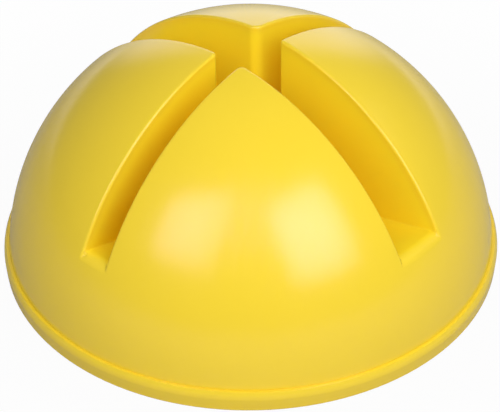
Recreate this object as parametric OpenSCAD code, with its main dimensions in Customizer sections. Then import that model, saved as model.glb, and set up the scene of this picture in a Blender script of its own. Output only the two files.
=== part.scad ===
// Half-sphere stand. Two crossed slots in a dome hold a hoop, a board or a pole upright.
// The slotted dome shell is screwed to a base pan, filled with sand through a screw plug in
// the pan's underside, and stands on four rubber feet.
// Millimetres, +Z up. The origin is on the ground, below the middle of the dome.

/* [Dome] */
// Radius of the half sphere
dome_r = 148; // [130:1:180]
// Wall of the dome and of the troughs that line the slots
wall = 4; // [3:0.5:5]
// Height of the crease between dome and rim, above the rim's lower edge
crease_h = 13.3; // [12:0.1:18]

/* [Slots] */
// Width of the slot along X, which takes boards and poles
wide_slot = 33; // [24:1:40]
// Width of the slot along Y, which takes hoops
narrow_slot = 18; // [12:1:22]
// Height of the slot floors above the ground where they cross
slot_floor_h = 49; // [47:0.5:60]
// Radius of the arc that the slot floors follow
slot_floor_r = 420; // [360:10:600]
// Rounding of the floor's edge where a slot runs out of the dome
lip_r = 6; // [3:0.5:9]
// Rounding of the lobes' upright corners at the crossing
corner_r = 3; // [1:0.5:5]

/* [Base pan] */
// How far the rim stands out past the dome
rim_proud = 2.8; // [1:0.1:6]
// Thickness of the rim's upright wall
rim_wall = 5; // [3.5:0.5:6]
// Width of the rim's flat ledge outside the crease
rim_ledge = 1.8; // [0:0.1:2.5]
// Rounding of the rim's upper outer edge, which starts at the end of the ledge
rim_round = 8.5; // [1:0.5:12]
// How far the rim's side leans in from its rounding down to its foot
rim_lean = 0.6; // [0:0.1:2]
// Rounding of the rim's lower outer edge
rim_foot_round = 1; // [0.5:0.25:2]
// Height of the gasket channel's underside above the rim's lower edge
channel_lift = 2; // [1:0.5:2.5]
// Thickness of the gasket channel's floor
channel_t = 3; // [2:0.5:3]
// Height of the plate's underside above the rim's lower edge
plate_lift = 8; // [7:0.5:9]
// Thickness of the plate
plate_t = 3.5; // [3:0.5:4.5]
// Thickness of the ribs under the plate
rib_t = 2.5; // [2:0.5:4]
// Height of the ribs under the plate
rib_h = 5; // [3:0.5:6]
// Middle radius of the ring rib
ring_rib_r = 66; // [50:1:75]

/* [Gasket] */
// Thickness of the gasket under the dome's spigot
gasket_t = 1.5; // [1:0.25:2]

/* [Screws] */
// Number of screws that hold the pan to the dome
screw_n = 8; // [8:8:16]
// Shank diameter of the screws
screw_d = 4; // [3:0.5:5]
// Shank length of the pan screws
screw_l = 16; // [12:1:20]
// Head diameter of the screws
screw_head_d = 8; // [7:0.5:10]
// Head height of the screws
screw_head_h = 2.4; // [2:0.2:3]
// Width of the arms of the cross recess
recess_w = 1.1; // [0.8:0.1:1.4]
// Depth of the cross recess
recess_depth = 1.4; // [1:0.1:1.6]
// Outer diameter of the sealing washers
washer_d = 10; // [9:0.5:12]
// Thickness of the sealing washers
washer_t = 1; // [0.5:0.25:1.5]
// Outer radius of the screw bosses in the dome
boss_r = 5.5; // [4.5:0.5:7]
// Gap between the screw bosses and the dome's spigot
boss_inset = 12; // [10:1:20]
// Thickness of the webs that tie the bosses to the dome
web_t = 2.5; // [2:0.5:4]

/* [Feet] */
// Distance of the feet from the middle
foot_ring_r = 102; // [92:1:104]
// Radius of a foot at its top
foot_r = 12; // [10:0.5:14]
// Height of a foot
foot_h = 6; // [5:0.5:7]
// How far the feet stand out below the rim
foot_proud = 1; // [0.5:0.25:2]
// Taper of a foot's side
foot_taper = 1; // [0:0.5:2]
// Rubber left between a foot screw's head and the pan
foot_pad_t = 3; // [2:0.25:3]
// Shank length of the foot screws
foot_screw_l = 10; // [8:1:12]

/* [Filler plug] */
// Radius of the plug's barrel
barrel_r = 20; // [15:1:24]
// Length of the barrel above the flange
barrel_l = 15.5; // [13:0.5:18]
// Wall of the plug
plug_wall = 3; // [2:0.5:4]
// How far the flange stands out past the barrel
flange_proud = 9.5; // [7:0.5:12]
// Thickness of the flange
flange_t = 3; // [2:0.5:4]
// Width of the grip bar across the plug's cup
grip_t = 5; // [4:0.5:8]
// Number of finger notches around the flange
notch_n = 12; // [6:1:18]
// Radius of a finger notch
notch_r = 2; // [1:0.5:3]
// Thickness of the seal on the flange
seal_t = 1.5; // [1:0.25:2]
// Width of the seal's ring
seal_w = 5.7; // [4:0.1:6]
// Pitch of the plug's thread
thread_pitch = 3; // [2:0.5:4]
// Turns from tight to free
thread_turns = 3; // [2:0.5:3.5]
// Ground clearance that the plug keeps when it is unscrewed
plug_ground_gap = 3.5; // [2:0.5:6]
// Wall of the filler neck and of the well around the plug
neck_wall = 3.5; // [2.5:0.5:5]

/* [Sand] */
// Gap between the sand's level and the slot troughs
sand_headroom = 3; // [1:0.5:10]

/* [Clearances] */
// Gap between pieces that slide into each other by hand
fit_gap = 0.3; // [0.2:0.05:0.5]
// Gap in the seam between the dome's shoulder and the rim
seam_gap = 0.2; // [0.1:0.05:0.5]
// Gap between the plug's seal and its seat
seat_gap = 0.1; // [0.05:0.05:0.3]
// Gap between a screw's thread and its hole in plastic
thread_gap = 0.05; // [0.02:0.01:0.1]
// Gap around the plug's flange in its well
well_gap = 1.5; // [1:0.25:3]

/* [Hidden] */
$fn = 128;

moulded_yellow = "#f2d13a";
gasket_black = "#26272a";
foot_grey = "#3b3c3f";
zinc = "#b9bcc0";
sand = "#c9b083";

// Cuts run past the surfaces they open by this much
over = 1;
// The lip's rounding ends this far below the dome's surface, so that they meet in a clean edge
lip_bite = 0.1;

// Heights, from the ground up
rim_bottom = foot_proud;
dome_c = rim_bottom;
crease_z = rim_bottom + crease_h;
shoulder_z = crease_z + seam_gap;
channel_z = rim_bottom + channel_lift;
channel_top = channel_z + channel_t;
spigot_bottom = channel_top + gasket_t;
plate_z = rim_bottom + plate_lift;
plate_top = plate_z + plate_t;
dome_top = dome_c + dome_r;
sand_top = slot_floor_h - wall - sand_headroom;

// Radii, from the rim inwards
rim_r = dome_r + rim_proud;
rim_in = rim_r - rim_wall;
rim_foot_r = rim_r - rim_lean;
spigot_out = rim_in - fit_gap;
spigot_in = spigot_out - wall;
locate_r = spigot_in - fit_gap;
channel_in = locate_r - rim_wall;
boss_ring_r = spigot_in - boss_inset - boss_r;
cavity_r = dome_r - wall;
weld_r = dome_r - wall / 2;

// Where the cavity widens from the spigot's bore to the inside of the dome
ledge_z = dome_c + sqrt(pow(cavity_r, 2) - pow(spigot_in + fit_gap, 2));

// Middle of the rim's rounding, which runs from the end of the ledge to the rim's side
ledge_end_r = sqrt(pow(dome_r, 2) - pow(crease_h, 2)) + rim_ledge;
rim_round_x = rim_r - rim_round;
ledge_reach = min(rim_round, max(0, ledge_end_r - rim_round_x));
rim_round_z = crease_z - sqrt(pow(rim_round, 2) - pow(ledge_reach, 2));

// Slot floors: the arc's middle and the points of the rounded lip
arc_c = [0, slot_floor_h + slot_floor_r];
ball_c = [0, dome_c];

// Screws
shank_r = screw_d / 2;
pilot_r = shank_r + thread_gap;
pass_r = shank_r + fit_gap;
washer_z = plate_z - washer_t;
screw_tip_z = washer_z + screw_l;
foot_seat_z = foot_h - foot_pad_t;
foot_tip_z = foot_seat_z + foot_screw_l;
foot_boss_r = foot_r + 2 * fit_gap;

// Filler plug, its well and its neck
plug_travel = thread_pitch * thread_turns;
flange_z = plug_travel + plug_ground_gap;
flange_r = barrel_r + flange_proud;
seal_z = flange_z + flange_t;
seat_z = seal_z + seal_t + seat_gap;
barrel_top = seal_z + barrel_l;
neck_in = barrel_r + fit_gap;
neck_out = neck_in + neck_wall;
well_in = flange_r + well_gap;
well_out = well_in + neck_wall;
well_top = seat_z + neck_wall;
neck_top = barrel_top + fit_gap;

// Point where two circles about arc_c and ball_c meet, on the +X side
function meet(arc_radius, ball_radius) =
    let (
        gap = arc_c.y - ball_c.y,
        z = arc_c.y - (pow(arc_radius, 2) - pow(ball_radius, 2) + pow(gap, 2)) / (2 * gap)
    )
    [sqrt(pow(ball_radius, 2) - pow(z - ball_c.y, 2)), z];

// Point at a distance from one point towards another
function toward(from, to, distance) = from + (to - from) * distance / norm(to - from);

// Ball about the dome's middle
module ball(radius) {
    translate([0, 0, dome_c]) sphere(radius);
}

// Upright cylinder between two heights
module post(radius, low, high) {
    translate([0, 0, low]) cylinder(r = radius, h = high - low);
}

// Copies its children around the Z axis
module around(count, first = 0) {
    for (i = [0 : count - 1]) rotate([0, 0, first + i * 360 / count]) children();
}

// What a rounded outer corner takes away, for a corner at the top right
module corner_waste(radius) {
    difference() {
        square(radius + over);
        circle(radius);
    }
}

// Everything above the floor arc, seen from the side, let down by a drop
module above_floor(drop = 0) {
    intersection() {
        translate(arc_c) circle(slot_floor_r + drop, $fn = 512);
        translate([-dome_r - 10, 0]) square([2 * dome_r + 20, dome_top + 10]);
    }
}

// The edge that the rounded lip takes off the floor's end
module lip_waste() {
    lip_c = meet(slot_floor_r + lip_r, dome_r - lip_bite - lip_r);
    edge = meet(slot_floor_r, dome_r);
    difference() {
        polygon([
            lip_c,
            toward(arc_c, lip_c, slot_floor_r),
            toward(arc_c, edge, slot_floor_r - over),
            toward(ball_c, edge, dome_r + over),
            toward(ball_c, lip_c, dome_r + over)
        ]);
        translate(lip_c) circle(lip_r);
    }
}

// A slot along X, cut down to the floor arc
module slot_cut(width) {
    rotate([90, 0, 0]) linear_extrude(width, center = true) {
        above_floor();
        lip_waste();
        mirror([1, 0]) lip_waste();
    }
}

// The block that a slot's trough is cut out of
module trough_block(width) {
    intersection() {
        ball(weld_r);
        rotate([90, 0, 0]) linear_extrude(width + 2 * wall, center = true) above_floor(wall);
    }
}

// What the lobes' upright corners lose to their rounding
module corner_cut() {
    reach = corner_r + over;
    intersection() {
        rotate([90, 0, 0]) linear_extrude(wide_slot + 4 * reach, center = true) above_floor();
        linear_extrude(dome_top + over)
            for (x = [0, 1], y = [0, 1]) mirror([x, 0]) mirror([0, y])
                translate([narrow_slot / 2 + corner_r, wide_slot / 2 + corner_r])
                    rotate(180) corner_waste(corner_r);
    }
}

// Screw bosses with their webs, grown by a clearance where they pass through the sand
module screw_bosses(grow = 0) {
    intersection() {
        ball(weld_r);
        around(screw_n, 180 / screw_n) {
            translate([boss_ring_r, 0, 0]) post(boss_r + grow, plate_top, dome_top);
            translate([boss_ring_r, -web_t / 2 - grow, ledge_z])
                cube([dome_r - boss_ring_r, web_t + 2 * grow, dome_top]);
        }
    }
}

// Outer skin: half sphere down to the crease, then the spigot that sits in the pan
module dome_skin() {
    difference() {
        union() {
            intersection() {
                ball(dome_r);
                post(rim_r, shoulder_z, dome_top + over);
            }
            post(spigot_out, spigot_bottom, shoulder_z + over);
        }
        post(spigot_in, spigot_bottom - over, ledge_z);
        intersection() {
            ball(cavity_r);
            post(rim_r, ledge_z - over / 2, dome_top);
        }
    }
}

module dome_shell() {
    color(moulded_yellow) difference() {
        union() {
            dome_skin();
            trough_block(wide_slot);
            rotate([0, 0, 90]) trough_block(narrow_slot);
            screw_bosses();
        }
        slot_cut(wide_slot);
        rotate([0, 0, 90]) slot_cut(narrow_slot);
        corner_cut();
        around(screw_n, 180 / screw_n)
            translate([boss_ring_r, 0, 0]) post(pilot_r, plate_top - over, screw_tip_z + fit_gap);
    }
}

// Rim, gasket channel, plate, well and filler neck, cut on one side of the axis
module pan_section() {
    difference() {
        polygon([
            [rim_in, rim_bottom], [rim_foot_r, rim_bottom],
            [rim_foot_r, rim_bottom + rim_foot_round], [rim_r, rim_round_z],
            [rim_r, crease_z], [rim_in, crease_z]
        ]);
        translate([rim_round_x, rim_round_z]) corner_waste(rim_round);
        translate([rim_foot_r - rim_foot_round, rim_bottom + rim_foot_round])
            mirror([0, 1]) corner_waste(rim_foot_round);
    }
    translate([channel_in, channel_z]) square([rim_in + over - channel_in, channel_t]);
    translate([channel_in, channel_z]) square([locate_r - channel_in, plate_top - channel_z]);
    translate([well_in, plate_z]) square([locate_r - well_in, plate_t]);
    translate([well_in, plate_z - rib_h]) square([neck_wall, well_top - plate_z + rib_h]);
    translate([neck_in, seat_z]) square([well_out - neck_in, neck_wall]);
    translate([neck_in, seat_z]) square([neck_wall, neck_top - seat_z]);
}

// Ribs under the plate: spokes from the well to the gasket channel, and one ring
module pan_ribs() {
    around(8) translate([well_in + over, -rib_t / 2, plate_z - rib_h])
        cube([channel_in + over - well_in - over, rib_t, rib_h + over]);
    rotate_extrude() translate([ring_rib_r - rib_t / 2, plate_z - rib_h])
        square([rib_t, rib_h + over]);
}

module base_pan() {
    color(moulded_yellow) difference() {
        union() {
            rotate_extrude() pan_section();
            pan_ribs();
            around(4, 45) translate([foot_ring_r, 0, 0]) {
                post(foot_boss_r, foot_h, plate_top);
                post(boss_r, foot_h, foot_tip_z + neck_wall / 2);
            }
        }
        around(screw_n, 180 / screw_n)
            translate([boss_ring_r, 0, 0]) post(pass_r, 0, plate_top + over);
        around(4, 45) translate([foot_ring_r, 0, 0]) {
            post(foot_boss_r, 0, foot_h);
            post(pilot_r, foot_h - over, foot_tip_z + fit_gap);
        }
    }
}

module rim_gasket() {
    color(gasket_black) difference() {
        post(spigot_out, channel_top, spigot_bottom);
        post(spigot_in, channel_top - over, spigot_bottom + over);
    }
}

// Pan head screw with a cross recess, its head's seat at the origin and its tip up
module screw(length) {
    head_r = screw_head_d / 2;
    head_round = screw_head_h / 2;
    tip_l = screw_d;
    difference() {
        rotate_extrude() difference() {
            translate([0, -screw_head_h]) square([head_r, screw_head_h]);
            translate([head_r - head_round, head_round - screw_head_h])
                mirror([0, 1]) corner_waste(head_round);
        }
        for (turn = [0, 90]) rotate([0, 0, turn])
            translate([-head_r / 2, -recess_w / 2, -screw_head_h - over])
                cube([head_r, recess_w, recess_depth + over]);
    }
    cylinder(r = shank_r, h = length - tip_l);
    translate([0, 0, length - tip_l]) cylinder(r1 = shank_r, r2 = shank_r / 4, h = tip_l);
}

module base_screws() {
    color(zinc) around(screw_n, 180 / screw_n)
        translate([boss_ring_r, 0, washer_z]) screw(screw_l);
}

module screw_washers() {
    color(gasket_black) around(screw_n, 180 / screw_n) translate([boss_ring_r, 0, 0])
        difference() {
            post(washer_d / 2, washer_z, plate_z);
            post(pass_r, washer_z - over, plate_z + over);
        }
}

// Dry sand, level and settled on the plate, around all that stands up in it
module sand_ballast() {
    color(sand) difference() {
        intersection() {
            ball(cavity_r - fit_gap);
            post(spigot_in - fit_gap, plate_top, sand_top);
        }
        post(well_out + fit_gap, 0, well_top + fit_gap);
        post(neck_out + fit_gap, 0, neck_top + fit_gap);
        screw_bosses(fit_gap);
        around(4, 45) translate([foot_ring_r, 0, 0])
            post(boss_r + fit_gap, 0, foot_tip_z + neck_wall / 2 + fit_gap);
    }
}

module filler_plug() {
    cup_r = barrel_r - plug_wall;
    color(moulded_yellow) difference() {
        union() {
            post(flange_r, flange_z, seal_z);
            post(barrel_r, flange_z, barrel_top);
        }
        difference() {
            post(cup_r, flange_z - over, barrel_top - plug_wall);
            translate([-barrel_r, -grip_t / 2, flange_z])
                cube([2 * barrel_r, grip_t, barrel_top]);
        }
        around(notch_n) translate([flange_r, 0, 0]) post(notch_r, flange_z - over, seal_z + over);
    }
}

module plug_seal() {
    color(gasket_black) difference() {
        post(neck_in + seal_w, seal_z, seal_z + seal_t);
        post(neck_in, seal_z - over, seal_z + seal_t + over);
    }
}

// Tapered rubber foot with a sunk seat for its screw
module foot(number) {
    color(foot_grey) rotate([0, 0, number * 90 - 45]) translate([foot_ring_r, 0, 0])
        difference() {
            cylinder(r1 = foot_r - foot_taper, r2 = foot_r, h = foot_h);
            post(screw_head_d / 2 + fit_gap, -over, foot_seat_z);
            post(pass_r, -over, foot_h + over);
        }
}

module foot_screws() {
    color(zinc) around(4, 45) translate([foot_ring_r, 0, foot_seat_z]) screw(foot_screw_l);
}

dome_shell();
base_pan();
rim_gasket();
base_screws();
screw_washers();
sand_ballast();
filler_plug();
plug_seal();
foot(1);  // foot_1
foot(2);  // foot_2
foot(3);  // foot_3
foot(4);  // foot_4
foot_screws();
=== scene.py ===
import math

import bmesh
import bpy
import numpy as np
from mathutils import Matrix, Vector


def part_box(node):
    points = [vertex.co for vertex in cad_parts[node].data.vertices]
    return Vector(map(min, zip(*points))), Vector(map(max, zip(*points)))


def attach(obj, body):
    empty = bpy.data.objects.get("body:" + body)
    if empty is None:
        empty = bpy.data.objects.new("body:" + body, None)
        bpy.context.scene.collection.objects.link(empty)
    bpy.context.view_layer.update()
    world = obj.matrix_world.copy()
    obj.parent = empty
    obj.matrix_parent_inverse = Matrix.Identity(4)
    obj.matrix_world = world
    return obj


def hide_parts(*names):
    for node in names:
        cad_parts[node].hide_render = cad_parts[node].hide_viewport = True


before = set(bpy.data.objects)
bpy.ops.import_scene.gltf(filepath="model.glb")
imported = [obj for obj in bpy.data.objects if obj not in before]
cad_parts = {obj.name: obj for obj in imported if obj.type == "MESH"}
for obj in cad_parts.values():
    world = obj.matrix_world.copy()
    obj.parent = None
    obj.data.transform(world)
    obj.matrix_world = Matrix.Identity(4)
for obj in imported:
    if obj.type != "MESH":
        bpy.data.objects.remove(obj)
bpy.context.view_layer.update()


# ---- Dome shell ----------------------------------------------------------------------------
# Half sphere of rotation moulded polyethylene, yellow right through, 4 mm thick. Two troughs
# cross at the top and line the slots, and the mould gives every outer edge a small rounding.
# The shell sits in the pan on a spigot, below a crease.

# Sizes are in mm
mm = 0.001
dome_r = 148.0
dome_mid = 1.0
wall = 4.0
shoulder_z = 14.5
wide_slot = 33.0
narrow_slot = 18.0
floor_low = 49.0
floor_r = 420.0
floor_mid = floor_low + floor_r
edge_round = 1.6
lip_round = 6.0
corner_rounds = {"front": 3.8, "left": 3.0, "right": 2.0, "back": 6.0}
root_round = 0.7
rim_wall = 5.0
fit_gap = 0.3
spigot_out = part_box("base_pan")[1].x / mm - (rim_wall + fit_gap)
spigot_in = spigot_out - wall
spigot_z = 7.5
boss_count = 8
boss_r = 5.5
boss_inset = 12.0
boss_low = 12.5
boss_ring = spigot_in - (boss_inset + boss_r)
above_dome = 170.0


def round_max(a, b, r):
    """Intersection of two distance fields with a rounding of radius r along their edge."""
    return np.minimum(-r, np.maximum(a, b)) + np.hypot(np.maximum(r + a, 0), np.maximum(r + b, 0))


def dome_field(points):
    """Distance in mm from the dome's outer skin, below zero inside the plastic."""
    x, y, z = points.T
    skin = np.sqrt(x * x + y * y + (z - dome_mid) ** 2) - dome_r
    right_half = np.where(y < 0, corner_rounds["front"], corner_rounds["right"])
    left_half = np.where(y < 0, corner_rounds["left"], corner_rounds["back"])
    corner_round = np.where(x > 0, right_half, left_half)
    sides = round_max(wide_slot / 2 - abs(y), narrow_slot / 2 - abs(x), corner_round)
    floor = floor_r - np.sqrt(x * x + y * y + (z - floor_mid) ** 2)
    lobes = round_max(skin, sides, edge_round)
    troughs = round_max(skin, floor, lip_round)
    roots = round_max(skin, -round_max(-sides, -floor, root_round), lip_round)
    return np.minimum(np.minimum(lobes, troughs), roots)


def dome_slope(points):
    """Unit gradient of the dome's field, which is the skin's outward normal."""
    h = 0.01
    slope = np.stack([dome_field(points + step) - dome_field(points - step)
                      for step in np.eye(3) * h], axis=1)
    return slope / np.maximum(np.linalg.norm(slope, axis=1, keepdims=True), 1e-9)


def settle_on_skin(mesh, above):
    """Moves the vertices above a height onto the dome's exact skin, by a share each round."""
    rounds = 8
    share = 0.9
    flat = np.empty(len(mesh.vertices) * 3)
    mesh.vertices.foreach_get("co", flat)
    points = flat.reshape(-1, 3) / mm
    loose = points[:, 2] > above
    moved = points[loose]
    for _ in range(rounds):
        moved = moved - dome_slope(moved) * dome_field(moved)[:, None] * share
    points[loose] = moved
    mesh.vertices.foreach_set("co", (points * mm).ravel())
    mesh.update()


def piece(name, bm):
    """A finished bmesh as an object of the scene."""
    mesh = bpy.data.meshes.new(name)
    bm.to_mesh(mesh)
    bm.free()
    obj = bpy.data.objects.new(name, mesh)
    bpy.context.scene.collection.objects.link(obj)
    return obj


def apply_modifiers(obj):
    """Takes the modified shape as the object's own mesh."""
    view = bpy.context.evaluated_depsgraph_get()
    made = bpy.data.meshes.new_from_object(obj.evaluated_get(view))
    obj.modifiers.clear()
    obj.data = made


def cut(obj, other, operation="DIFFERENCE"):
    """Cuts or joins one solid with another, which is then removed."""
    tool = obj.modifiers.new("cut", "BOOLEAN")
    tool.operation = operation
    tool.solver = "EXACT"
    tool.object = other
    apply_modifiers(obj)
    bpy.data.objects.remove(other)


def ball(bm, radius, subdivisions):
    """A ball about the dome's middle."""
    bmesh.ops.create_icosphere(bm, subdivisions=subdivisions, radius=radius * mm)
    bmesh.ops.translate(bm, verts=bm.verts, vec=(0, 0, dome_mid * mm))


def cut_flat(bm, z):
    """Takes away what lies below a height, and closes the cut."""
    everything = list(bm.verts) + list(bm.edges) + list(bm.faces)
    bottom = bmesh.ops.bisect_plane(bm, geom=everything, plane_co=(0, 0, z * mm),
                                    plane_no=(0, 0, 1), clear_inner=True)
    edge = [e for e in bottom["geom_cut"] if isinstance(e, bmesh.types.BMEdge)]
    bmesh.ops.holes_fill(bm, edges=edge)


def post(radius, low, high, segments, x=0.0, y=0.0):
    """Upright cylinder between two heights."""
    bm = bmesh.new()
    bmesh.ops.create_cone(bm, cap_ends=True, segments=segments, radius1=radius * mm,
                          radius2=radius * mm, depth=(high - low) * mm)
    bmesh.ops.translate(bm, verts=bm.verts, vec=Vector((x, y, (low + high) / 2)) * mm)
    return piece("post", bm)


def slot_block(width, drop, turn):
    """What lies above a slot's floor arc, as wide as the slot, let down by a drop."""
    bm = bmesh.new()
    reach = math.radians(24)
    radius = floor_r + drop
    start = Vector((-radius * math.sin(reach), -width / 2, floor_mid - radius * math.cos(reach)))
    first = bm.verts.new(start * mm)
    bmesh.ops.spin(bm, geom=[first], cent=Vector((0, -width / 2, floor_mid)) * mm,
                   axis=(0, -1, 0), angle=2 * reach, steps=96)
    up = bmesh.ops.extrude_edge_only(bm, edges=list(bm.edges))["geom"]
    for v in up:
        if isinstance(v, bmesh.types.BMVert):
            v.co.z = above_dome * mm
    everything = list(bm.faces) + list(bm.edges) + list(bm.verts)
    side = bmesh.ops.extrude_face_region(bm, geom=everything)["geom"]
    far = [v for v in side if isinstance(v, bmesh.types.BMVert)]
    bmesh.ops.translate(bm, verts=far, vec=(0, width * mm, 0))
    bmesh.ops.rotate(bm, verts=bm.verts, matrix=Matrix.Rotation(turn, 3, "Z"))
    bmesh.ops.recalc_face_normals(bm, faces=bm.faces)
    return piece("slot", bm)


# The ball with its two slots is only a rough block: it is remeshed finely and then settled on
# the exact skin, which holds the roundings
rough_low = 6.0
settled_low = 9.0
voxel = 0.9
face_count = 62000
quarter_turn = math.radians(90)
bm = bmesh.new()
ball(bm, dome_r, subdivisions=6)
cut_flat(bm, rough_low)
dome = piece("dome", bm)
cut(dome, slot_block(wide_slot, drop=0, turn=0))
cut(dome, slot_block(narrow_slot, drop=0, turn=quarter_turn))
remesh = dome.modifiers.new("remesh", "REMESH")
remesh.mode = "VOXEL"
remesh.voxel_size = voxel * mm
apply_modifiers(dome)
settle_on_skin(dome.data, settled_low)
thin = dome.modifiers.new("thin", "DECIMATE")
thin.ratio = min(1.0, face_count / len(dome.data.polygons))
apply_modifiers(dome)
settle_on_skin(dome.data, settled_low)

# The shoulder is cut flat, and the spigot is added below it
weld = 4.0
bm = bmesh.new()
bm.from_mesh(dome.data)
cut_flat(bm, shoulder_z)
bmesh.ops.recalc_face_normals(bm, faces=bm.faces)
bm.to_mesh(dome.data)
bm.free()
cut(dome, post(spigot_out, spigot_z, shoulder_z + weld, segments=256), "UNION")

# The cavity is the ball inside the wall, less the troughs and the screw bosses. It opens
# downwards through the spigot's bore
past_spigot = 3.0
overlap = 0.5
ledge_z = dome_mid + math.sqrt((dome_r - wall) ** 2 - (spigot_in + fit_gap) ** 2)
bm = bmesh.new()
ball(bm, dome_r - wall, subdivisions=5)
cut_flat(bm, ledge_z)
bmesh.ops.recalc_face_normals(bm, faces=bm.faces)
cavity = piece("cavity", bm)
cut(cavity, post(spigot_in, spigot_z - past_spigot, ledge_z + overlap, segments=128), "UNION")
cut(cavity, slot_block(wide_slot + 2 * wall, drop=wall, turn=0))
cut(cavity, slot_block(narrow_slot + 2 * wall, drop=wall, turn=quarter_turn))
for k in range(boss_count):
    angle = math.radians((k + 0.5) * 360 / boss_count)
    x, y = boss_ring * math.cos(angle), boss_ring * math.sin(angle)
    cut(cavity, post(boss_r, boss_low, above_dome, segments=24, x=x, y=y))
cut(dome, cavity)

# The skin's own normals shade the roundings exactly. Faces of the cuts keep their flat ones
skin_reach = 0.05
least_agreement = 0.75
mesh = dome.data
flat = np.empty(len(mesh.vertices) * 3)
mesh.vertices.foreach_get("co", flat)
points = flat.reshape(-1, 3) / mm
on_skin = (abs(dome_field(points)) < skin_reach) & (points[:, 2] > shoulder_z - skin_reach)
slope = dome_slope(points)
corner = np.empty(len(mesh.loops), dtype=np.int32)
mesh.loops.foreach_get("vertex_index", corner)
face_normal = np.empty(len(mesh.polygons) * 3)
mesh.polygons.foreach_get("normal", face_normal)
corner_count = np.empty(len(mesh.polygons), dtype=np.int32)
mesh.polygons.foreach_get("loop_total", corner_count)
normal = np.repeat(face_normal.reshape(-1, 3), corner_count, axis=0)
agreement = np.einsum("ij,ij->i", slope[corner], normal)
smooth = on_skin[corner] & (agreement > least_agreement)
normal[smooth] = slope[corner][smooth]
mesh.polygons.foreach_set("use_smooth", np.ones(len(mesh.polygons), dtype=bool))
mesh.normals_split_custom_set(normal)
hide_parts("dome_shell")
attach(dome, "stand")


def linear(code):
    """An sRGB hex colour as linear RGBA."""
    parts = [int(code[i:i + 2], 16) / 255 for i in (1, 3, 5)]
    return [c / 12.92 if c <= 0.04045 else ((c + 0.055) / 1.055) ** 2.4 for c in parts] + [1.0]


def add(material, kind, inputs=None, **settings):
    """Adds a node to a material: its settings, and its inputs as values or as links."""
    tree = material.node_tree
    node = tree.nodes.new(kind)
    for name, value in settings.items():
        setattr(node, name, value)
    for name, value in (inputs or {}).items():
        if isinstance(value, bpy.types.NodeSocket):
            tree.links.new(value, node.inputs[name])
        else:
            node.inputs[name].default_value = value
    return node


def new_material(name):
    """An empty node material."""
    material = bpy.data.materials.new(name)
    material.use_nodes = True
    material.node_tree.nodes.clear()
    return material


# Moulded polyethylene has a waxy gloss. The mould's skin waves faintly about every 11 mm, and
# the colour drifts a little over about 45 mm
moulded = new_material("moulded_polyethylene")
place = add(moulded, "ShaderNodeTexCoord").outputs["Object"]
waves = add(moulded, "ShaderNodeTexNoise", {"Vector": place, "Scale": 90.0, "Detail": 1.0})
cloud = add(moulded, "ShaderNodeTexNoise", {"Vector": place, "Scale": 22.0, "Detail": 2.0})
outer = add(moulded, "ShaderNodeMix", {"Factor": cloud.outputs["Fac"], "A": linear("#fadd31"),
                                       "B": linear("#fcdf37")}, data_type="RGBA")

# The slots are painted a lighter yellow than the skin, a painted light on their walls, and a deeper
# yellow at their roots by ambient occlusion, a painted shade
painted_shade_occlusion = add(moulded, "ShaderNodeAmbientOcclusion", {"Distance": 30 * mm}, samples=6)
painted_shade_openness = add(moulded, "ShaderNodeMapRange", {"Value": painted_shade_occlusion.outputs["AO"], "From Min": 0.1,
                                               "From Max": 0.42})
painted_slot_light_and_shade = add(moulded, "ShaderNodeMix", {"Factor": painted_shade_openness.outputs["Result"],
                                       "A": linear("#f4cd02"), "B": linear("#ffe92e")},
            data_type="RGBA")

# The skin keeps its own yellow, which gives way to the slots' painted light and shade, less and
# less of it down to 6 mm into the slots
skin_colour_depth = 0.5
slot_colour_depth = 6.0
middle = add(moulded, "ShaderNodeVectorMath", {0: place, 1: (0, 0, dome_mid * mm)},
             operation="DISTANCE")
skin_colour_share = add(moulded, "ShaderNodeMapRange", {"Value": middle.outputs["Value"],
                                            "From Min": (dome_r - slot_colour_depth) * mm,
                                            "From Max": (dome_r - skin_colour_depth) * mm})
colour = add(moulded, "ShaderNodeMix", {"Factor": skin_colour_share.outputs["Result"],
                                        "A": painted_slot_light_and_shade.outputs["Result"],
                                        "B": outer.outputs["Result"]}, data_type="RGBA")

# The mould was rubbed down towards its middle, in marks about 2 mm apart and 10 mm long
across = add(moulded, "ShaderNodeVectorMath", {0: place, 1: (1.0, 1.0, 0.0)},
             operation="MULTIPLY")
around = add(moulded, "ShaderNodeVectorMath", {0: across.outputs["Vector"]},
             operation="NORMALIZE")
along = add(moulded, "ShaderNodeVectorMath", {0: place, 1: (0.0, 0.0, 1.4)},
            operation="MULTIPLY")
rubbed = add(moulded, "ShaderNodeVectorMath", {0: around.outputs["Vector"],
                                               1: along.outputs["Vector"]}, operation="ADD")
marks = add(moulded, "ShaderNodeTexNoise", {"Vector": rubbed.outputs["Vector"], "Scale": 75.0,
                                            "Detail": 4.0, "Roughness": 0.6})
gloss = add(moulded, "ShaderNodeMapRange", {"Value": marks.outputs["Fac"], "From Min": 0.4,
                                            "From Max": 0.68, "To Min": 0.17, "To Max": 0.26})
wavy = add(moulded, "ShaderNodeBump", {"Height": waves.outputs["Fac"], "Strength": 0.5,
                                       "Distance": 0.1 * mm})
ribbed = add(moulded, "ShaderNodeBump", {"Height": marks.outputs["Fac"], "Strength": 0.5,
                                         "Distance": 0.03 * mm,
                                         "Normal": wavy.outputs["Normal"]})

# Its IOR is 1.54 by the book, and a little more here for the strong shine, which a faint tint
# keeps cream on the yellow
plastic = add(moulded, "ShaderNodeBsdfPrincipled", {"Base Color": colour.outputs["Result"],
                                                    "Roughness": gloss.outputs["Result"],
                                                    "Normal": ribbed.outputs["Normal"],
                                                    "IOR": 1.65,
                                                    "Specular Tint": linear("#ffdfff")})
add(moulded, "ShaderNodeOutputMaterial", {"Surface": plastic.outputs["BSDF"]})
dome.data.materials.append(moulded)


def finish_nodes(material, *names):
    """Gives CAD nodes their real finish."""
    for name in names:
        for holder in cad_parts[name].material_slots:
            holder.material = material


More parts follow.
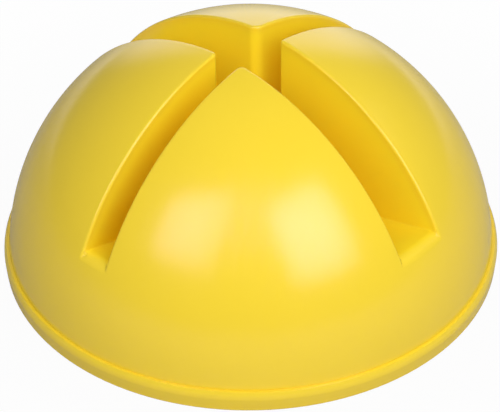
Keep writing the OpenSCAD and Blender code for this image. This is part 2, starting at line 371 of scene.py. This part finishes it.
# ---- Base pan ------------------------------------------------------------------------------
# Injection moulded in the same yellow polyethylene as the dome, with a rounded rim and with
# ribs under its plate. Eight screws from below pull it against the dome's spigot.

finish_nodes(moulded, "base_pan")


# ---- Gasket, plug seal and screw washers ---------------------------------------------------
# Rings of black EPDM rubber. The gasket is squeezed under the dome's spigot, the seal under the
# plug's seat, and a washer under each pan screw.

# Its bloom clouds the black over about 6 mm
epdm = new_material("epdm_rubber")
place = add(epdm, "ShaderNodeTexCoord").outputs["Object"]
bloom = add(epdm, "ShaderNodeTexNoise", {"Vector": place, "Scale": 160.0, "Detail": 4.0})
shade = add(epdm, "ShaderNodeMix", {"Factor": bloom.outputs["Fac"], "A": linear("#1d1e20"),
                                    "B": linear("#2f3033")}, data_type="RGBA")
# Rubber's skin is pitted about every 0.4 mm
pits = add(epdm, "ShaderNodeTexNoise", {"Vector": place, "Scale": 2500.0, "Detail": 2.0})
pitted = add(epdm, "ShaderNodeBump", {"Height": pits.outputs["Fac"], "Strength": 0.5,
                                      "Distance": 0.1 * mm})
dull = add(epdm, "ShaderNodeMapRange", {"Value": bloom.outputs["Fac"], "To Min": 0.55,
                                        "To Max": 0.75})
rubber = add(epdm, "ShaderNodeBsdfPrincipled", {"Base Color": shade.outputs["Result"],
                                                "Roughness": dull.outputs["Result"],
                                                "Normal": pitted.outputs["Normal"], "IOR": 1.52})
add(epdm, "ShaderNodeOutputMaterial", {"Surface": rubber.outputs["BSDF"]})
finish_nodes(epdm, "rim_gasket", "plug_seal", "screw_washers")


# ---- Screws --------------------------------------------------------------------------------
# Eight pan screws and four foot screws of steel, zinc plated and passivated. The plating is
# bright, with a faint crystal pattern and a slight warm and blue tint.

zinc = new_material("zinc_plated_steel")
place = add(zinc, "ShaderNodeTexCoord").outputs["Object"]
# Zinc's crystals are about 1 mm here, so that they show. The passive film drifts over 4 mm
crystals = add(zinc, "ShaderNodeTexVoronoi", {"Vector": place, "Scale": 1000.0})
film = add(zinc, "ShaderNodeTexNoise", {"Vector": place, "Scale": 260.0, "Detail": 2.0})
metal = add(zinc, "ShaderNodeMix", {"Factor": film.outputs["Fac"], "A": linear("#c9ccd2"),
                                    "B": linear("#d3cfbf")}, data_type="RGBA")
sheen = add(zinc, "ShaderNodeMapRange", {"Value": crystals.outputs["Distance"], "To Min": 0.22,
                                         "To Max": 0.38})
steel = add(zinc, "ShaderNodeBsdfPrincipled", {"Base Color": metal.outputs["Result"],
                                               "Roughness": sheen.outputs["Result"],
                                               "Metallic": 1.0})
add(zinc, "ShaderNodeOutputMaterial", {"Surface": steel.outputs["BSDF"]})
finish_nodes(zinc, "base_screws", "foot_screws")


# ---- Sand ----------------------------------------------------------------------------------
# Dry quartz sand that fills the shell to just under the troughs. Its grains are about 0.6 mm
# across and run from pale quartz to brown.

quartz = new_material("quartz_sand")
place = add(quartz, "ShaderNodeTexCoord").outputs["Object"]
grains = add(quartz, "ShaderNodeTexVoronoi", {"Vector": place, "Scale": 1600.0})
tone = add(quartz, "ShaderNodeSeparateColor", {"Color": grains.outputs["Color"]})
tones = add(quartz, "ShaderNodeValToRGB", {"Fac": tone.outputs["Red"]})
tones.color_ramp.elements[0].color = linear("#8f7447")
tones.color_ramp.elements[1].color = linear("#e6d9ba")
tones.color_ramp.elements.new(0.35).color = linear("#c9b083")
rough = add(quartz, "ShaderNodeBump", {"Height": grains.outputs["Distance"], "Strength": 0.8,
                                       "Distance": 0.3 * mm}, invert=True)
sand = add(quartz, "ShaderNodeBsdfPrincipled", {"Base Color": tones.outputs["Color"],
                                                "Roughness": 0.85,
                                                "Normal": rough.outputs["Normal"], "IOR": 1.54})
add(quartz, "ShaderNodeOutputMaterial", {"Surface": sand.outputs["BSDF"]})
finish_nodes(quartz, "sand_ballast")


# ---- Filler plug ---------------------------------------------------------------------------
# Screw plug of the same plastic as the pan, turned by the grip bar across its cup or by the
# notches in its flange.

finish_nodes(moulded, "filler_plug")


# ---- Feet ----------------------------------------------------------------------------------
# Four moulded feet of dark grey rubber, each held by one screw in a sunk seat. Their soles are
# scuffed paler by the floor.

foot_rubber = new_material("foot_rubber")
place = add(foot_rubber, "ShaderNodeTexCoord").outputs["Object"]
# The scuffs are about 2 mm across, and fade out 1.2 mm up from the sole
height = add(foot_rubber, "ShaderNodeSeparateXYZ", {"Vector": place})
sole = add(foot_rubber, "ShaderNodeMapRange", {"Value": height.outputs["Z"], "From Min": 0.0,
                                               "From Max": 1.2 * mm, "To Min": 0.7, "To Max": 0.0})
scuff = add(foot_rubber, "ShaderNodeTexNoise", {"Vector": place, "Scale": 420.0, "Detail": 5.0,
                                                "Roughness": 0.65})
worn = add(foot_rubber, "ShaderNodeMath", {0: sole.outputs["Result"], 1: scuff.outputs["Fac"]},
           operation="MULTIPLY")
shade = add(foot_rubber, "ShaderNodeMix", {"Factor": worn.outputs["Value"],
                                           "A": linear("#333437"), "B": linear("#6c6b68")},
            data_type="RGBA")
# Its skin is pitted about every 0.6 mm
pits = add(foot_rubber, "ShaderNodeTexNoise", {"Vector": place, "Scale": 1800.0, "Detail": 2.0})
pitted = add(foot_rubber, "ShaderNodeBump", {"Height": pits.outputs["Fac"], "Strength": 0.5,
                                             "Distance": 0.1 * mm})
dull = add(foot_rubber, "ShaderNodeMapRange", {"Value": scuff.outputs["Fac"], "To Min": 0.6,
                                               "To Max": 0.8})
rubber = add(foot_rubber, "ShaderNodeBsdfPrincipled", {"Base Color": shade.outputs["Result"],
                                                       "Roughness": dull.outputs["Result"],
                                                       "Normal": pitted.outputs["Normal"],
                                                       "IOR": 1.52})
add(foot_rubber, "ShaderNodeOutputMaterial", {"Surface": rubber.outputs["BSDF"]})
finish_nodes(foot_rubber, "foot_1", "foot_2", "foot_3", "foot_4")


# ---- Floor, light and camera ---------------------------------------------------------------
# A white table with a white backdrop behind it in a dim studio. Two soft boxes in front, a
# broad soft fill from over the camera, and a weaker lamp on the far side light the stand.

bm = bmesh.new()
bmesh.ops.create_circle(bm, cap_ends=True, segments=96, radius=1.3)
floor = piece("floor", bm)

# The camera sees the paper white, with a trace of shade close round the stand. In the shine the
# paper glows towards the rear only, a painted light there, and it lights the stand as a pale grey
paper = new_material("white_paper")
place = add(paper, "ShaderNodeTexCoord").outputs["Object"]
ray = add(paper, "ShaderNodeLightPath")
away = add(paper, "ShaderNodeVectorMath", {0: place}, operation="LENGTH")
clear = add(paper, "ShaderNodeMapRange", {"Value": away.outputs["Value"], "From Min": 0.14,
                                          "From Max": 0.4, "To Min": 0.96, "To Max": 1.0})
seen = add(paper, "ShaderNodeMath", {0: ray.outputs["Is Camera Ray"], 1: clear.outputs["Result"]},
           operation="MULTIPLY")
rear = add(paper, "ShaderNodeVectorMath", {0: place, 1: (-0.68, 0.73, 0.0)},
           operation="DOT_PRODUCT")
painted_glow = add(paper, "ShaderNodeMapRange", {"Value": rear.outputs["Value"], "From Min": 0.3,
                                        "From Max": 0.75, "To Min": 0.04, "To Max": 0.9})
mirrored = add(paper, "ShaderNodeMath", {0: ray.outputs["Is Glossy Ray"], 1: painted_glow.outputs["Result"]},
               operation="MULTIPLY")
share = add(paper, "ShaderNodeMath", {0: seen.outputs["Value"], 1: mirrored.outputs["Value"]},
            operation="MAXIMUM")
matte = add(paper, "ShaderNodeBsdfDiffuse", {"Color": linear("#b6b6b6")})
glow = add(paper, "ShaderNodeEmission", {"Strength": 1.0})
blend = add(paper, "ShaderNodeMixShader", {"Fac": share.outputs["Value"], 1: matte.outputs["BSDF"],
                                           2: glow.outputs["Emission"]})
add(paper, "ShaderNodeOutputMaterial", {"Surface": blend.outputs["Shader"]})
floor.data.materials.append(paper)

# The studio is dim in front and lighter to the sides, with the lit backdrop behind. The camera
# sees it white
studio = bpy.data.worlds.new("studio")
studio.use_nodes = True
studio.node_tree.nodes.clear()
bpy.context.scene.world = studio
look = add(studio, "ShaderNodeTexCoord").outputs["Generated"]
behind = add(studio, "ShaderNodeVectorMath", {0: look, 1: (-0.66, 0.72, 0.20)},
             operation="DOT_PRODUCT")
sides = add(studio, "ShaderNodeMapRange", {"Value": behind.outputs["Value"], "From Min": -0.7,
                                           "From Max": 0.3, "To Min": 0.16, "To Max": 0.2},
            interpolation_type="SMOOTHSTEP")
backdrop = add(studio, "ShaderNodeMapRange", {"Value": behind.outputs["Value"], "From Min": 0.865,
                                              "From Max": 0.955, "To Min": 0.0, "To Max": 1.25},
               interpolation_type="SMOOTHSTEP")
level = add(studio, "ShaderNodeMath", {0: sides.outputs["Result"], 1: backdrop.outputs["Result"]},
            operation="ADD")
room = add(studio, "ShaderNodeBackground", {"Color": linear("#ffffff"),
                                            "Strength": level.outputs["Value"]})
white = add(studio, "ShaderNodeBackground", {"Color": linear("#ffffff"), "Strength": 1.0})
ray = add(studio, "ShaderNodeLightPath")
blend = add(studio, "ShaderNodeMixShader", {"Fac": ray.outputs["Is Camera Ray"],
                                            1: room.outputs["Background"],
                                            2: white.outputs["Background"]})
add(studio, "ShaderNodeOutputWorld", {"Surface": blend.outputs["Shader"]})


def soft_box(name, centre, across, up, width, height, power):
    """A rectangular lamp in metres and watts. Its axes run across and up its face."""
    lamp = bpy.data.lights.new(name, "AREA")
    lamp.shape = "RECTANGLE"
    lamp.size = width
    lamp.size_y = height
    lamp.energy = power
    obj = bpy.data.objects.new(name, lamp)
    x = Vector(across).normalized()
    z = x.cross(Vector(up)).normalized()
    y = z.cross(x)
    obj.rotation_euler = Matrix((x, y, z)).transposed().to_euler()
    obj.location = centre
    bpy.context.scene.collection.objects.link(obj)
    return obj


def diffuser(lamp, side_stops, end_stops):
    """Cloth over a soft box, with stops of (place, level) from side to side and end to end."""
    lamp.use_nodes = True
    lamp.node_tree.nodes.clear()
    face = add(lamp, "ShaderNodeNewGeometry").outputs["Parametric"]
    axes = add(lamp, "ShaderNodeSeparateXYZ", {"Vector": face})
    levels = []
    for axis, stops in (("X", side_stops), ("Y", end_stops)):
        ramp = add(lamp, "ShaderNodeValToRGB", {"Fac": axes.outputs[axis]})
        elements = ramp.color_ramp.elements
        while len(elements) < len(stops):
            elements.new(0.5)
        for element, (at, _) in zip(elements, stops):
            element.position = at
        for element, (_, level) in zip(elements, stops):
            element.color = (level, level, level, 1)
        levels.append(ramp.outputs["Color"])
    both = add(lamp, "ShaderNodeMath", {0: levels[0], 1: levels[1]}, operation="MULTIPLY")
    shine = add(lamp, "ShaderNodeEmission", {"Strength": both.outputs["Value"]})
    add(lamp, "ShaderNodeOutputLight", {"Surface": shine.outputs["Emission"]})


left = soft_box("left_box", centre=(0.050, -1.007, 0.900), across=(0.687, 0.687, -0.239),
                up=(-0.092, 0.408, 0.908), width=0.900, height=0.900, power=7.7)
right = soft_box("right_box", centre=(0.930, -0.225, 0.790), across=(0.047, 0.996, -0.077),
                 up=(-0.513, 0.090, 0.854), width=0.730, height=1.000, power=8.9)
fill = soft_box("fill", centre=(0.66, -0.67, 1.14), across=(0.71, 0.70, 0.0),
                up=(-0.47, 0.48, 0.74), width=0.9, height=0.7, power=6.5)
far_side = soft_box("far_side", centre=(0.44, 1.06, 0.96), across=(-0.92, 0.38, 0.0),
                    up=(-0.25, -0.59, 0.77), width=0.6, height=0.6, power=3.5)
fill.visible_glossy = False
far_side.visible_glossy = False

# The cloth is dimmer at its edges, and the frame's bars show through it near both sides. It
# holds back a little of the lamps' green
cloth_tint = (1.0, 0.92, 1.0)
bars = [(0.0, 0.05), (0.06, 0.8), (0.09, 0.75), (0.12, 0.35), (0.16, 0.9), (0.4, 1.0), (0.7, 1.0),
        (0.84, 0.85), (0.88, 0.35), (0.92, 0.8), (0.95, 0.75), (1.0, 0.05)]
ends = [(0.0, 0.0), (0.1, 0.5), (0.25, 0.95), (0.5, 1.05), (0.75, 0.95), (0.9, 0.5), (1.0, 0.0)]
for box in (left, right):
    diffuser(box.data, bars, ends)
    box.data.color = cloth_tint

# The camera looks at the dome's middle from the front right and above
turn = math.radians(42.51)
rise = math.radians(38.73)
distance = 1.4208
roll = Matrix.Rotation(math.radians(-0.62), 4, "Z")
back = Vector((math.sin(turn) * math.cos(rise), -math.cos(turn) * math.cos(rise), math.sin(rise)))
lens = bpy.data.cameras.new("camera")
lens.lens = 166.0
lens.shift_x = -0.0016
lens.shift_y = 0.078
camera = bpy.data.objects.new("camera", lens)
camera.location = Vector((0, 0, dome_mid * mm)) + back * distance
camera.rotation_euler = (back.to_track_quat("Z", "Y").to_matrix().to_4x4() @ roll).to_euler()
bpy.context.scene.collection.objects.link(camera)
bpy.context.scene.camera = camera
bpy.context.scene.view_settings.view_transform = "Standard"
# Light bounces many times between the walls of a slot
bpy.context.scene.cycles.diffuse_bounces = 8
